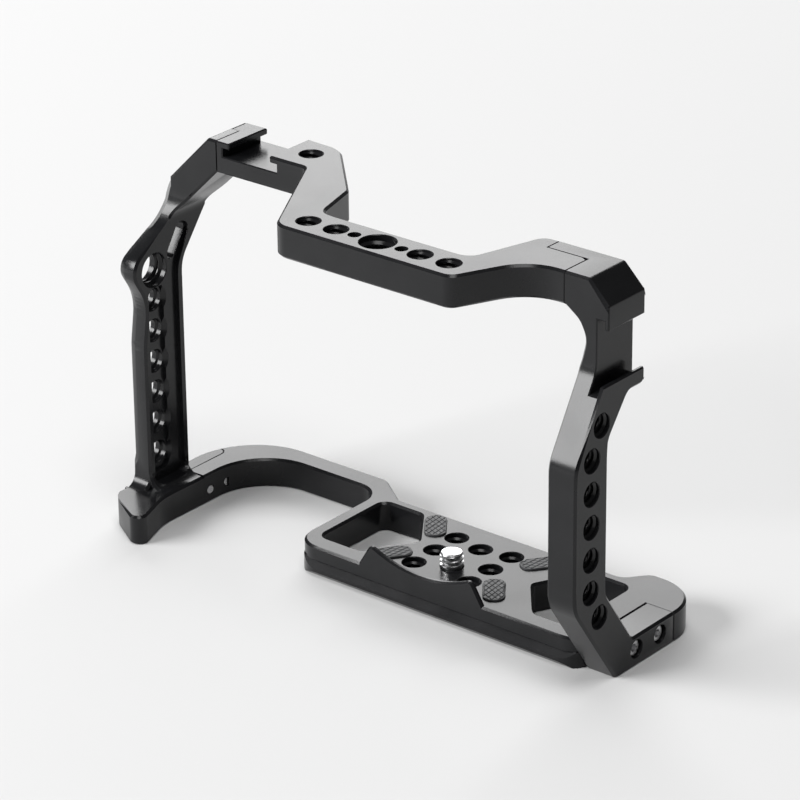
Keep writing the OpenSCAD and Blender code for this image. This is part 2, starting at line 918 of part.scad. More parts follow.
bar_corners = [
    [-seam_x, -shoe_front, 0],
    [-shoe_block_x, -shoe_front, bar_corner_r],
    [-bar_half, -bar_front, bar_end_r],
    [bar_half, -bar_front, jog_r],
    [far_bend_x, -rail_front, far_bend_r],
    [lap_end_x, -rail_front, 0],
    [lap_end_x, -lap_y, lap_r],
    [lap_x, -lap_y, 0],
    [lap_x, -rail_rear, 0],
    [far_jog_x, -rail_rear, jog_r],
    [bar_rear_half, -bar_rear, jog_r],
    [-bar_rear_half, -bar_rear, jog_r],
    [-jog_x, -jog_y, jog_r],
    [-block_rear_x, shoe_rear, block_r],
    [-cap_outer_x, shoe_rear, 0],
    [-cap_outer_x, seam_step_y, 0],
    [-seam_x, seam_step_y, 0]
];

// Height of the top shoe's floor
shoe_floor_z = bar_z - top_shoe_depth;

module top_bar() {
    color("#2a2b2e")
        difference() {
            plan(rounded(bar_corners), inner_h, bar_z);
            top_shoe();
            for (side = [-1, 1]) {
                for (i = [0, 1])
                    translate([side * (bar_hole_x + i * hole_pitch), -bar_hole_y, inner_h])
                        tapped(tapped_d, bar_h);
                translate([side * pin_spacing / 2, -bar_hole_y, inner_h - over])
                    cylinder(d = pin_hole_d, h = bar_h + 2 * over);
            }
            translate([0, -bar_hole_y, inner_h])
                tapped(large_tapped_d, bar_h);
            translate([-side_hole_x, side_hole_y, inner_h])
                tapped(tapped_d, bar_h);
            for (i = [0, 1]) {
                at_grip_top(i)
                    join_room();
                at_far_top(i)
                    join_room();
            }
        }
}

module top_shoe() {
    length = shoe_front + shoe_rear + 2 * over;
    translate([-shoe_left_x, -shoe_front - over, shoe_floor_z])
        cube([shoe_w, length, shoe_slot_h]);
    translate([-shoe_left_x + shoe_lip, -shoe_front - over, shoe_floor_z])
        cube([shoe_w - 2 * shoe_lip, length, top_shoe_depth + over]);
}

// Far side frame

far_instep = 3.2;
knee_r = 6;
knee_drop = 3.8;
lip_root = 6.7;
lip_below = 2.1;
upper_bend_share = 0.836;
far_side_outline = [
    [-far_toe, -plate_t, edge_r],
    [far_foot_l, -plate_t, 0],
    [far_foot_l, 0, 0],
    [-far_instep, 0, edge_r],
    [-far_rear, lower_knee_z, knee_r],
    [-far_rear, upper_knee_z + knee_drop, knee_r],
    [-lip_root, side_shoe_z - lip_below, knee_r / 2],
    [-rail_rear, side_shoe_z - lip_below, edge_r],
    [-rail_rear, bar_z, 0],
    [-rail_front, bar_z, 0],
    [-rail_front, inner_h * upper_bend_share, bend_r],
    [-far_front, upper_knee_z, bend_r],
    [-far_front, lower_knee_z, bend_r]
];

// Front outline of the far frame: its inner side is hollowed beside the side shoe
hollow_depth = 1.9;
// Its share that the inner side stands forward again above the hollow
hollow_back_share = 0.125;
// Heights of the inner side's three bends as shares of the height
hollow_shares = [0.834, 0.918, 0.966];
far_front_outline = [
    [lap_end_x + seam, inner_h, 0],
    [lap_end_x + seam, bar_z, 0],
    [far_outer_x - corner_cut, bar_z, edge_r],
    [far_outer_x, bar_z - corner_cut, edge_r],
    [far_outer_x, -plate_t, 0],
    [far_inner_x, -plate_t, 0],
    [far_inner_x, inner_h * hollow_shares[0], knee_r],
    [far_inner_x + hollow_depth, inner_h * hollow_shares[1], knee_r],
    [far_inner_x - hollow_depth * hollow_back_share, inner_h * hollow_shares[2], knee_r]
];

module far_side_frame() {
    color("#1d1e21")
        difference() {
            union() {
                intersection() {
                    front(rounded(far_front_outline), -bar_front, bar_front);
                    side(rounded(far_side_outline), 0, far_outer_x + over);
                }
                lap_tab();
            }
            side_shoe();
            for (row = [0 : 4])
                at_far_hole(far_hole_inset, far_hole_z + row * hole_pitch);
            for (end = [0, 1])
                at_far_hole(
                    far_hole_inset + far_end_hole_back,
                    far_hole_z - end_hole_step + end * (4 * hole_pitch + 2 * end_hole_step)
                );
            for (i = [0, 1]) {
                at_far_foot(i)
                    join_room();
                at_far_top(i)
                    join_room();
            }
        }
}
// Rise from a hole in line to the one that is set back, at one pitch along the slope
end_hole_step = sqrt(hole_pitch * hole_pitch - far_end_hole_back * far_end_hole_back);

module at_far_hole(inset, z) {
    translate([far_inner_x, -far_front + inset, z])
        tapped_x(tapped_d, far_wall);
}

module lap_tab() {
    translate([lap_x + seam, -lap_y + seam, inner_h])
        cube([lap_end_x - lap_x, lap_y - seam - rail_rear, bar_h]);
}

module side_shoe() {
    depth = rail_front + far_front;
    translate([far_outer_x - side_shoe_depth, -depth, side_shoe_z])
        cube([shoe_slot_h, depth, shoe_w]);
    translate([far_outer_x - side_shoe_depth, -depth, side_shoe_z + shoe_lip])
        cube([side_shoe_depth + over, depth, shoe_w - 2 * shoe_lip]);
}

// Pads

// Length, width and corner rounding of every pad
pad_l = 12;
pad_w = 5.9;
pad_r = 2.6;
// Turn of a pad's length from the plate's X axis
pad_turn = 53;
// Middles of the rear and front pads from the tapped holes next to them, outward and rearward
pad_rear_step = [8.7, 1.9];
pad_front_step = [8.2, 0];
// Each pad: side of the screw, row of the hole next to it, step from that hole, turn
pad_rear_left = [-1, 0, pad_rear_step, pad_turn];
pad_rear_right = [1, 0, pad_rear_step, pad_turn];
pad_front_left = [-1, 2, pad_front_step, -pad_turn];
pad_front_right = [1, 2, pad_front_step, -pad_turn];

// Corners of a pad's plan outline, moved outward by a gap
function pad_corners(p, gap) = [
    for (c = [[1, 1], [-1, 1], [-1, -1], [1, -1]])
        let (
            along = c[0] * (pad_l / 2 + gap),
            across = c[1] * (pad_w / 2 + gap),
            x = base_hole_x + p[2][0],
            y = base_hole_rear - p[1] * hole_pitch + p[2][1]
        )
        [
            p[0] * (x + along * cos(p[3]) - across * sin(p[3])),
            y + along * sin(p[3]) + across * cos(p[3]),
            pad_r + gap
        ]
];

module pad(p) {
    color("#4a4c50")
        plan(rounded(pad_corners(p, 0)), -pad_recess, pad_proud);
}

// Camera screw: thread above the seat, neck in the plate and head in the counterbore

// Bevel of the screw's tip, and the slot and socket in its head
tip_bevel = 0.5;
key_slot_w = 1.4;
key_slot_depth = 1.1;

module camera_screw() {
    thread_low = stop_gap + (screw_d - screw_hole_d) / 2 - seat_cone;
    color("#c9cbce")
        difference() {
            rotate_extrude()
                polygon([
                    [0, head_low],
                    [screw_head_d / 2 - tip_bevel, head_low],
                    [screw_head_d / 2, head_low + tip_bevel],
                    [screw_head_d / 2, head_high],
                    [neck_d / 2, head_high],
                    [neck_d / 2, thread_low - (screw_d - neck_d) / 2],
                    [screw_d / 2, thread_low],
                    [screw_d / 2, screw_tip_z - tip_bevel],
                    [screw_d / 2 - tip_bevel, screw_tip_z],
                    [0, screw_tip_z]
                ]);
            translate([-screw_head_d, -key_slot_w / 2, head_low - over])
                cube([2 * screw_head_d, key_slot_w, key_slot_depth + over]);
        }
}

module screw_washer() {
    color("#3a3b3d")
        translate([0, 0, head_high + stop_gap])
            difference() {
                cylinder(d = screw_head_d - tip_bevel, h = washer_t);
                translate([0, 0, -over])
                    cylinder(d = neck_d + 2 * screw_fit, h = washer_t + 2 * over);
            }
}

// Joining screws

module silver_screw() {
    color("#d4d6d8")
        join_screw();
}

base_plate();
grip_side_frame();
top_bar();
far_side_frame();
pad(pad_rear_left);
pad(pad_rear_right);
pad(pad_front_left);
pad(pad_front_right);
camera_screw();
screw_washer();
at_far_foot(1) silver_screw();  // far_foot_screw_front
at_far_foot(0) silver_screw();  // far_foot_screw_rear
at_grip_foot(0) silver_screw();  // grip_foot_screw_front
at_grip_foot(1) silver_screw();  // grip_foot_screw_rear
at_grip_top(0) silver_screw();  // grip_top_screw_front
at_grip_top(1) silver_screw();  // grip_top_screw_rear
at_far_top(0) silver_screw();  // far_top_screw_inner
at_far_top(1) silver_screw();  // far_top_screw_outer
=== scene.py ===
import json
import math

import bmesh
import bpy
from mathutils import Matrix, Vector
from mathutils.bvhtree import BVHTree
from mathutils.geometry import delaunay_2d_cdt


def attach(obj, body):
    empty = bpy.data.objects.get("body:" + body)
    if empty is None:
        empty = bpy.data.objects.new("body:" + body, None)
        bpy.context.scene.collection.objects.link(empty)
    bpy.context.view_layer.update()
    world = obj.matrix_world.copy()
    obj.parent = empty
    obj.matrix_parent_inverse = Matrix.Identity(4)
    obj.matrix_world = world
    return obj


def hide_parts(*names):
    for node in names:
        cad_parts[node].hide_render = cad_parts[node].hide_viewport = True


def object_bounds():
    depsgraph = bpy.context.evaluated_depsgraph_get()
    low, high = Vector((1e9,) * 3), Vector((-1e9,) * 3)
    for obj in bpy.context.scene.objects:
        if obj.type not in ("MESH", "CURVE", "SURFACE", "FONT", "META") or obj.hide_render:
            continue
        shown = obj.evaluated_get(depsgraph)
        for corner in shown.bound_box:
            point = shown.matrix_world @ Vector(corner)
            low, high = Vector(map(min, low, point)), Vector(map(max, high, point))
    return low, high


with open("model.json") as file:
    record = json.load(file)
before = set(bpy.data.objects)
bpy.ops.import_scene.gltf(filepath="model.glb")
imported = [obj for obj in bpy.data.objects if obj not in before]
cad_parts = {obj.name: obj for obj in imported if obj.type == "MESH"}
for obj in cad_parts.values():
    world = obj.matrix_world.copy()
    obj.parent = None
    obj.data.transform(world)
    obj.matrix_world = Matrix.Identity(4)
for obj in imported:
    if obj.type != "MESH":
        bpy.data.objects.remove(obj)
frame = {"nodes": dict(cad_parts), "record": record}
cad_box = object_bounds()

# The part's lengths are in millimetres, in the same frame as the CAD, and MM turns them into metres.
# Noise scales, bump distances, the floor, the lamps and the camera are in metres.
MM = 0.001
TAU = 2 * math.pi
FRAME_NODES = ("base_plate", "grip_side_frame", "top_bar", "far_side_frame")


def rad(degrees):
    return math.radians(degrees)


# Materials

# The part of a noise's range that is spread over a material's colours and values
NOISE_LOW = 0.3
NOISE_HIGH = 0.7


class Nodes:
    """A material's node tree, with its Principled shader."""

    def __init__(self, name):
        self.material = bpy.data.materials.new(name)
        self.material.use_nodes = True
        self.tree = self.material.node_tree
        self.shader = self.tree.nodes["Principled BSDF"]
        self.position = self.add("ShaderNodeTexCoord").outputs["Object"]

    def add(self, kind, **values):
        node = self.tree.nodes.new(kind)
        for key, value in values.items():
            node.inputs[key].default_value = value
        return node

    def link(self, source, target):
        self.tree.links.new(source, target)

    def noise(self, scale, detail, stretch=None):
        node = self.add("ShaderNodeTexNoise", Scale=scale, Detail=detail)
        source = self.position
        if stretch:
            mapping = self.add("ShaderNodeMapping", Scale=stretch)
            self.link(source, mapping.inputs["Vector"])
            source = mapping.outputs["Vector"]
        self.link(source, node.inputs["Vector"])
        return node.outputs["Fac"]

    def roughness(self, source, low, high):
        node = self.add("ShaderNodeMapRange")
        node.inputs["From Min"].default_value = NOISE_LOW
        node.inputs["From Max"].default_value = NOISE_HIGH
        node.inputs["To Min"].default_value = low
        node.inputs["To Max"].default_value = high
        self.link(source, node.inputs["Value"])
        self.link(node.outputs["Result"], self.shader.inputs["Roughness"])

    def colour(self, source, dark, light):
        node = self.add("ShaderNodeValToRGB")
        node.color_ramp.elements[0].position = NOISE_LOW
        node.color_ramp.elements[0].color = (*dark, 1)
        node.color_ramp.elements[1].position = NOISE_HIGH
        node.color_ramp.elements[1].color = (*light, 1)
        self.link(source, node.inputs["Fac"])
        self.link(node.outputs["Color"], self.shader.inputs["Base Color"])

    def bump(self, source, strength, distance):
        node = self.add("ShaderNodeBump", Strength=strength, Distance=distance)
        self.link(source, node.inputs["Height"])
        self.link(node.outputs["Normal"], self.shader.inputs["Normal"])


def anodised():
    """Black anodised aluminium: bead-blasted, satin, with a very fine grain."""
    n = Nodes("black_anodised")
    n.colour(n.noise(scale=90, detail=3), dark=(0.006, 0.0062, 0.007), light=(0.01, 0.0102, 0.0112))
    n.roughness(n.noise(scale=60, detail=3), low=0.2, high=0.26)
    n.shader.inputs["IOR"].default_value = 1.38
    n.bump(n.noise(scale=4200, detail=1.5), strength=0.5, distance=0.00002)
    return n.material


def rubber():
    n = Nodes("pad_rubber")
    n.colour(n.noise(scale=700, detail=4), dark=(0.045, 0.046, 0.048), light=(0.07, 0.071, 0.074))
    n.roughness(n.noise(scale=900, detail=2), low=0.5, high=0.62)
    n.bump(n.noise(scale=4000, detail=2), strength=0.3, distance=0.00003)
    return n.material


def steel():
    n = Nodes("bright_steel")
    n.colour(n.noise(scale=400, detail=3), dark=(0.62, 0.62, 0.63), light=(0.74, 0.74, 0.74))
    n.roughness(n.noise(scale=900, detail=2, stretch=(1, 1, 8)), low=0.24, high=0.34)
    n.shader.inputs["Metallic"].default_value = 1.0
    n.bump(n.noise(scale=2600, detail=2, stretch=(1, 1, 6)), strength=0.15, distance=0.00002)
    return n.material


def washer():
    n = Nodes("dark_washer")
    n.colour(n.noise(scale=500, detail=3), dark=(0.04, 0.04, 0.043), light=(0.06, 0.06, 0.064))
    n.roughness(n.noise(scale=700, detail=2), low=0.45, high=0.6)
    return n.material


# The material of each of the record's slots
MATERIALS = {
    "black_anodised": anodised(),
    "pad_rubber": rubber(),
    "bright_steel": steel(),
    "dark_washer": washer(),
}


# Meshes

# Angles in degrees from which an edge is drawn sharp: the frame and washer, the screws, the pads
PLAIN_SHARP = 30
SCREW_SHARP = 28
PAD_SHARP = 20

# How far apart points of the CAD mesh are welded, how short its edges may get, and how many degrees
# its flat faces may differ
WELD = 0.002
SHORTEST = 0.001
FLAT = 0.4

# How near two points are one when a flat outline is filled
FILL_GRAIN = 0.0002
PAD_GRAIN = 0.0001

# How far a face may be off its own triangles, in area and as a share of it, and off its plane
AREA_SLACK = 0.001
AREA_SHARE = 0.0005
BENT = 0.03

# How far a point is off the CAD surface when it counts as thrown off, and the least share of that
# distance that lies along the surface's normal
THROWN = 0.01
THROWN_SHARE = -0.3


def finish_piece(bm, name, body, node, slot, sharp):
    bmesh.ops.scale(bm, vec=(MM, MM, MM), verts=bm.verts)
    bmesh.ops.recalc_face_normals(bm, faces=bm.faces)
    mesh = bpy.data.meshes.new(name)
    for edge in bm.edges:
        edge.smooth = len(edge.link_faces) == 2 and edge.calc_face_angle(0) < rad(sharp)
    for face in bm.faces:
        face.smooth = True
    bm.to_mesh(mesh)
    bm.free()
    mesh.materials.append(MATERIALS[slot])
    obj = bpy.data.objects.new(name, mesh)
    bpy.context.scene.collection.objects.link(obj)
    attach(obj, body)
    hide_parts(node)
    return obj


def cad_copy(node):
    """The CAD node's mesh in millimetres."""
    bm = bmesh.new()
    bm.from_mesh(frame["nodes"][node].data)
    bmesh.ops.scale(bm, vec=(1 / MM, 1 / MM, 1 / MM), verts=bm.verts)
    return bm


def join_flats(bm):
    bmesh.ops.dissolve_limit(bm, angle_limit=rad(FLAT), verts=bm.verts, edges=bm.edges)


def cad_mesh(node):
    """The CAD node's mesh in millimetres, welded, with its flat faces joined."""
    bm = cad_copy(node)
    bmesh.ops.remove_doubles(bm, verts=bm.verts, dist=WELD)
    bmesh.ops.dissolve_degenerate(bm, edges=bm.edges, dist=SHORTEST)
    bmesh.ops.recalc_face_normals(bm, faces=bm.faces)
    join_flats(bm)
    return bm


def bevelled(bm, node, weights):
    """A copy of the mesh with each edge chamfered by its weight, which is a width in millimetres."""
    mesh = bpy.data.meshes.new(node + "_rough")
    bm.to_mesh(mesh)
    attribute = mesh.attributes.new("bevel_weight_edge", "FLOAT", "EDGE")
    attribute.data.foreach_set("value", weights)
    obj = bpy.data.objects.new(node + "_rough", mesh)
    bpy.context.scene.collection.objects.link(obj)
    bevel = obj.modifiers.new("chamfer", "BEVEL")
    bevel.width = 1.0
    bevel.limit_method = "WEIGHT"
    bevel.offset_type = "OFFSET"
    bevel.segments = 1
    bevel.use_clamp_overlap = False
    bevel.miter_outer = "MITER_SHARP"
    bpy.context.view_layer.update()
    done = bmesh.new()
    done.from_object(obj, bpy.context.evaluated_depsgraph_get())
    bpy.data.objects.remove(obj)
    bpy.data.meshes.remove(mesh)
    return done


def winding(point, outline):
    """How often a closed outline turns counterclockwise about a point."""
    x, y = point
    turns = 0
    for (x0, y0), (x1, y1) in zip(outline, outline[1:] + outline[:1]):
        if (y0 <= y) != (y1 <= y):
            left = (x1 - x0) * (y - y0) - (x - x0) * (y1 - y0) > 0
            if y1 > y0 and left:
                turns += 1
            elif y1 <= y0 and not left:
                turns -= 1
    return turns


def middle_of(points, triangle):
    return sum((Vector(points[k]) for k in triangle), Vector((0, 0))) / 3


def refill(bm, face):
    """Fills a flat face whose outline crosses itself with clean triangles."""
    turn = face.normal.to_track_quat("Z", "Y").to_matrix()
    local = [turn.transposed() @ v.co for v in face.verts]
    flat = [(v.x, v.y) for v in local]
    depth = sum(v.z for v in local) / len(local)
    count = len(flat)
    edges = [(k, (k + 1) % count) for k in range(count)]
    points, _, triangles, origins, _, _ = delaunay_2d_cdt(
        [Vector(p) for p in flat], edges, [], 0, FILL_GRAIN, True)
    corners = []
    for point, origin in zip(points, origins):
        if origin:
            corners.append(face.verts[origin[0]])
        else:
            corners.append(bm.verts.new(turn @ Vector((point[0], point[1], depth))))
    chosen = []
    for triangle in triangles:
        if winding(middle_of(points, triangle), flat) > 0:
            chosen.append([corners[k] for k in triangle])
    bm.faces.remove(face)
    for triangle in chosen:
        if bm.faces.get(triangle) is None:
            bm.faces.new(triangle)


def mend_faces(bm):
    """Refills each face that its own triangles don't cover exactly, and splits the bent ones."""
    covered = {}
    for loops in bm.calc_loop_triangles():
        a, b, c = (loop.vert.co for loop in loops)
        face = loops[0].face
        covered[face] = covered.get(face, 0) + (b - a).cross(c - a).length / 2
    for face, area in covered.items():
        slack = AREA_SLACK + AREA_SHARE * area
        if len(face.verts) > 4 and abs(area - face.calc_area()) > slack:
            refill(bm, face)
    bent = []
    for face in bm.faces:
        middle = face.calc_center_median()
        off_plane = max(abs((v.co - middle).dot(face.normal)) for v in face.verts)
        if len(face.verts) > 3 and off_plane > BENT:
            bent.append(face)
    bmesh.ops.triangulate(bm, faces=bent)


def cut(bm, cutter):
    """The first mesh less the second, both given up."""
    objects = []
    for source, name in ((bm, "cut_body"), (cutter, "cut_tool")):
        bmesh.ops.recalc_face_normals(source, faces=source.faces)
        mesh = bpy.data.meshes.new(name)
        source.to_mesh(mesh)
        source.free()
        obj = bpy.data.objects.new(name, mesh)
        bpy.context.scene.collection.objects.link(obj)
        objects.append(obj)
    modifier = objects[0].modifiers.new("cut", "BOOLEAN")
    modifier.operation = "DIFFERENCE"
    modifier.solver = "MANIFOLD"
    modifier.object = objects[1]
    bpy.context.view_layer.update()
    done = bmesh.new()
    done.from_object(objects[0], bpy.context.evaluated_depsgraph_get())
    for obj in objects:
        mesh = obj.data
        bpy.data.objects.remove(obj)
        bpy.data.meshes.remove(mesh)
    return done


TREES = {}


def tree_of(node):
    """A search tree of the CAD node's surface, made once."""
    if node not in TREES:
        bm = cad_copy(node)
        TREES[node] = BVHTree.FromBMesh(bm)
        bm.free()
    return TREES[node]


def drop_spikes(bm, node):
    """Brings each point that a mitre threw off the CAD piece back to its surface."""
    for v in bm.verts:
        nearest, normal, _, distance = tree_of(node).find_nearest(v.co)
        if distance > THROWN and (v.co - nearest).dot(normal) > THROWN_SHARE * distance:
            v.co = nearest


# The grip frame's broad chamfer

# It runs along the front outer edge and grows from NARROW to WIDE (across the side, across the front)
# between the heights in GROWS. Above the edge it follows CHAMFER_END, as points (y, z).
GRIP_OUTER_X = -99.8
NARROW = (2.5, 1.3)
WIDE = (4.8, 5.0)
GROWS = (72.0, 84.0)
CHAMFER_END = ((-0.4, 84.0), (-0.4, 92.0))

# It fades in over these heights above the foot, from just outside the edge
FADES = (0.5, 5.0)
FADE_FROM = -0.05

# How far its cutter reaches past the slope, and outward from the edge
CUT_OVER = 1.2
CUT_OUT = 1.8

# The edge's first line is longer than this, and the rim is sharper than this angle in degrees
FIRST_LINE = 20
RIM_ANGLE = 60
ON_SIDE = 0.01


def front_line(bm):
    """The grip frame's front outer edge from the foot upward, as points (y, z)."""
    rim = [
        e for e in bm.edges if len(e.link_faces) == 2 and e.calc_face_angle(0) > rad(RIM_ANGLE)
        and all(abs(v.co.x - GRIP_OUTER_X) < ON_SIDE for v in e.verts)]
    long_edges = (e for e in rim if e.calc_length() > FIRST_LINE)
    start = min(long_edges, key=lambda e: e.verts[0].co.y)
    line = sorted(start.verts, key=lambda v: v.co.z)
    while True:
        ahead = [e.other_vert(line[-1]) for e in rim if line[-1] in e.verts]
        ahead = [v for v in ahead if v.co.z > line[-1].co.z]
        if not ahead:
            break
        line.append(ahead[0])
    return [Vector((v.co.y, v.co.z)) for v in line]


def share_of(value, low, high):
    """How far a value is from low to high, as a share."""
    return (value - low) / (high - low)


def chamfer_cutter(line):
    """A triangular bar along the edge that removes the broad chamfer, fading in at the foot."""
    low = line[0].y
    line = [line[0] + Vector((0, height)) for height in FADES] + line[1:]
    line += [Vector(p) for p in CHAMFER_END]
    bm = bmesh.new()
    rings = []
    for k, point in enumerate(line):
        along = (line[min(k + 1, len(line) - 1)] - line[max(k - 1, 0)]).normalized()
        grown = max(0.0, min(1.0, share_of(point.y, *GROWS)))
        share = FADE_FROM + (1 - FADE_FROM) * min(1.0, share_of(point.y - low, *FADES))
        full = [a + (b - a) * grown for a, b in zip(NARROW, WIDE)]
        side, front = (share * width for width in full)
        slope = Vector((full[0], -full[1])).normalized() * CUT_OVER
        corners = (
            (side + slope.x, slope.y),
            (-slope.x, front - slope.y),
            (-CUT_OUT, -CUT_OUT),
        )
        ring = []
        for x, n in corners:
            place = (GRIP_OUTER_X + x, point.x + along.y * n, point.y - along.x * n)
            ring.append(bm.verts.new(place))
        rings.append(ring)
    for a, b in zip(rings, rings[1:]):
        for k in range(3):
            bm.faces.new((a[k], a[(k + 1) % 3], b[(k + 1) % 3], b[k]))
    bm.faces.new(rings[0])
    bm.faces.new(rings[-1])
    bmesh.ops.triangulate(bm, faces=bm.faces)
    return bm


# Holes

# Radii of the 1/4 inch and 3/8 inch threads, of the pin holes, of the counterbores that the joining
# screws sit in, and of the hole that the camera screw's head sits in
FINE_R = 3.175
LARGE_R = 4.7625
PIN_R = 1.75
SEAT_R = 2.6
HEAD_ROOM_R = 6.1

# Where the pieces begin and end along their holes
BASE_Z = (-8.4, 0)
BAR_Z = (91.8, 100.6)
GRIP_X = (GRIP_OUTER_X, -95.6)
GRIP_LARGE_X = (GRIP_OUTER_X, -93.4)
FAR_X = (52.1, 60.9)

# Places of the rows, and the distance between their holes
PITCH = 9
BASE_ROWS = (13.6, 4.6, -4.4)
BASE_COLUMN = 9.2
BAR_Y = -28.55
BAR_FIRST = 13.4
PIN_X = 7.5
GRIP_Y = -8.6
GRIP_FIRST = 8.6
FAR_Y = -21.4
FAR_FIRST = 20.0
FAR_END_Y = -17.6

# Tapped holes: axis, its two fixed coordinates, low end, high end, radius
HOLES = {
    "base_plate": [
        ("z", x, y, *BASE_Z, FINE_R) for x in (-BASE_COLUMN, BASE_COLUMN) for y in BASE_ROWS
    ] + [("z", 0, 12.1, *BASE_Z, FINE_R)],
    "top_bar": [
        ("z", s * (BAR_FIRST + PITCH * i), BAR_Y, *BAR_Z, FINE_R) for s in (-1, 1) for i in (0, 1)
    ] + [("z", 0, BAR_Y, *BAR_Z, LARGE_R), ("z", -52.3, 7.6, *BAR_Z, FINE_R)],
    "grip_side_frame": [
        ("x", GRIP_Y, GRIP_FIRST + PITCH * i, *GRIP_X, FINE_R) for i in range(6)
    ] + [("x", -9.7, 63.0, *GRIP_LARGE_X, LARGE_R)],
    "far_side_frame": [
        ("x", FAR_Y, FAR_FIRST + PITCH * i, *FAR_X, FINE_R) for i in range(5)
    ] + [("x", FAR_END_Y, z, *FAR_X, FINE_R) for z in (11.842, 64.158)],
}

# The holes of the joining screws, written in the same way
FAR_FOOT = [("x", y, -3.78, 40.0, 61.0, SEAT_R) for y in (-1.6, 8.5)]
GRIP_FOOT = [("x", y, -4.998, -100.0, -87.0, SEAT_R) for y in (3.1, 9.9)]
GRIP_TOP = [("x", y, 94.15, -100.0, -72.0, SEAT_R) for y in (3.0, 11.8)]
FAR_TOP = [("y", x, 96.2, -15.0, 0.0, SEAT_R) for x in (38.4, 44.0)]
PLAIN = {
    "base_plate": [("z", 0, 0, *BASE_Z, HEAD_ROOM_R)] + FAR_FOOT + GRIP_FOOT,
    "top_bar": [("z", x, BAR_Y, *BAR_Z, PIN_R) for x in (-PIN_X, PIN_X)] + GRIP_TOP + FAR_TOP,
    "grip_side_frame": GRIP_FOOT + GRIP_TOP,
    "far_side_frame": FAR_FOOT + FAR_TOP,
}

# How far a hole's own edges reach past its radius and its ends
HOLE_RIM = 0.35
HOLE_END = 0.1


def off_axis(hole, point):
    """Distance from a point to a hole's axis."""
    axis, a, b = hole[:3]
    pair = {"x": (point.y, point.z), "y": (point.x, point.z), "z": (point.x, point.y)}[axis]
    return math.hypot(pair[0] - a, pair[1] - b)


def in_hole(node, point):
    for hole in HOLES[node] + PLAIN[node]:
        axis, _, _, low, high, radius = hole
        depth = getattr(point, axis)
        if off_axis(hole, point) < radius + HOLE_RIM and low - HOLE_END < depth < high + HOLE_END:
            return True
    return False


# Edges

# Widths of the chamfers: of most edges, of the lip, of the edges on the floor, of the shoes' thin
# edges, and where two pieces meet
EDGE = 0.65
LIP_EDGE = 0.5
FLOOR_EDGE = 0.4
SHOE_EDGE = 0.3
SEAM_EDGE = 0.2
NO_EDGE = 0.0

# Convex edges sharper than this angle in degrees are chamfered
CHAMFER_ANGLE = 30

# A seam is looked for from this far inside a face, from this far behind it, over this distance
SEAM_INSIDE = 0.1
SEAM_BEHIND = 0.01
SEAM_REACH = 0.2

# The walls of the shallow recesses are higher than the first and end above the second
RECESS_WALL = 0.1
RECESS_FLOOR = -1.0

# Edges below this height lie on the floor
ON_FLOOR = -8.3


def at_seam(node, p, edge):
    """Whether one of the edge's faces lies against another piece of the frame."""
    along = (edge.verts[1].co - edge.verts[0].co).normalized()
    for face in edge.link_faces:
        inward = face.normal.cross(along)
        if inward.dot(face.calc_center_median() - p) < 0:
            inward = -inward
        start = p + inward * SEAM_INSIDE - face.normal * SEAM_BEHIND
        for other in FRAME_NODES:
            if other != node and tree_of(other).ray_cast(start, face.normal, SEAM_REACH)[0]:
                return True
    return False


def low_wall(edge):
    """Whether the edge is the rim of a shallow recess."""
    for face in edge.link_faces:
        zs = [v.co.z for v in face.verts]
        if max(zs) - min(zs) > RECESS_WALL and min(zs) > RECESS_FLOOR:
            return True
    return False


def base_edge(p, edge):
    """The lip is above the seat, and the dovetail's edges stay sharp."""
    on_top = abs(p.z) < 0.01
    on_lip = p.z > 0.2
    on_front_dovetail = p.y < -11.0 and p.z < -1.0
    on_rear_dovetail = p.y > 20 and p.z < -3.0 and abs(p.x) < 34.1
    if on_top and low_wall(edge):
        return NO_EDGE
    if on_lip:
        return LIP_EDGE
    if on_front_dovetail or on_rear_dovetail:
        return NO_EDGE
    return FLOOR_EDGE if p.z < ON_FLOOR else EDGE


def grip_edge(p, edge):
    """The pocket's rim and the faces of the broad chamfer stay sharp."""
    on_pocket = -96 < p.x < -93.3 and 0.5 < p.z < 80 and p.y > -12.7
    on_outside = p.x < -94
    if on_pocket:
        return NO_EDGE
    if p.z < ON_FLOOR:
        return FLOOR_EDGE
    if on_outside and any(f.normal.x < -0.3 and f.normal.y < -0.25 for f in edge.link_faces):
        return NO_EDGE
    return EDGE


def far_edge(p, edge):
    on_shoe = p.x > 57.0 and 70 < p.z < 95 and p.y < 0.5
    return SHOE_EDGE if on_shoe else EDGE


def top_edge(p, edge):
    on_shoe = -77 < p.x < -56 and p.z > 96
    return SHOE_EDGE if on_shoe else EDGE


EDGE_RULES = {
    "base_plate": base_edge,
    "grip_side_frame": grip_edge,
    "far_side_frame": far_edge,
    "top_bar": top_edge,
}


def width_at(node, edge):
    """The width of an edge's chamfer."""
    if len(edge.link_faces) != 2 or not edge.is_convex or edge.calc_face_angle(0) <= rad(CHAMFER_ANGLE):
        return NO_EDGE
    p = (edge.verts[0].co + edge.verts[1].co) / 2
    if in_hole(node, p):
        return NO_EDGE
    if at_seam(node, p, edge):
        return SEAM_EDGE
    return EDGE_RULES[node](p, edge)


def chamfered(node):
    """The CAD node with its sharp convex edges chamfered."""
    bm = cad_mesh(node)
    if node == "grip_side_frame":
        bm = cut(bm, chamfer_cutter(front_line(bm)))
        join_flats(bm)
    done = bevelled(bm, node, [width_at(node, edge) for edge in bm.edges])
    bm.free()
    drop_spikes(done, node)
    mend_faces(done)
    return done


# Threads

# Radius of the hole's wall, radius of the thread's crest, and pitch
FINE = (FINE_R, 2.58, 1.27)
COARSE = (LARGE_R, 3.98, 1.5875)

# How deep a thread's root lies in the wall, and how far a thread stays off the ends of its hole
WALL_SINK = 0.05
THREAD_END = 0.3

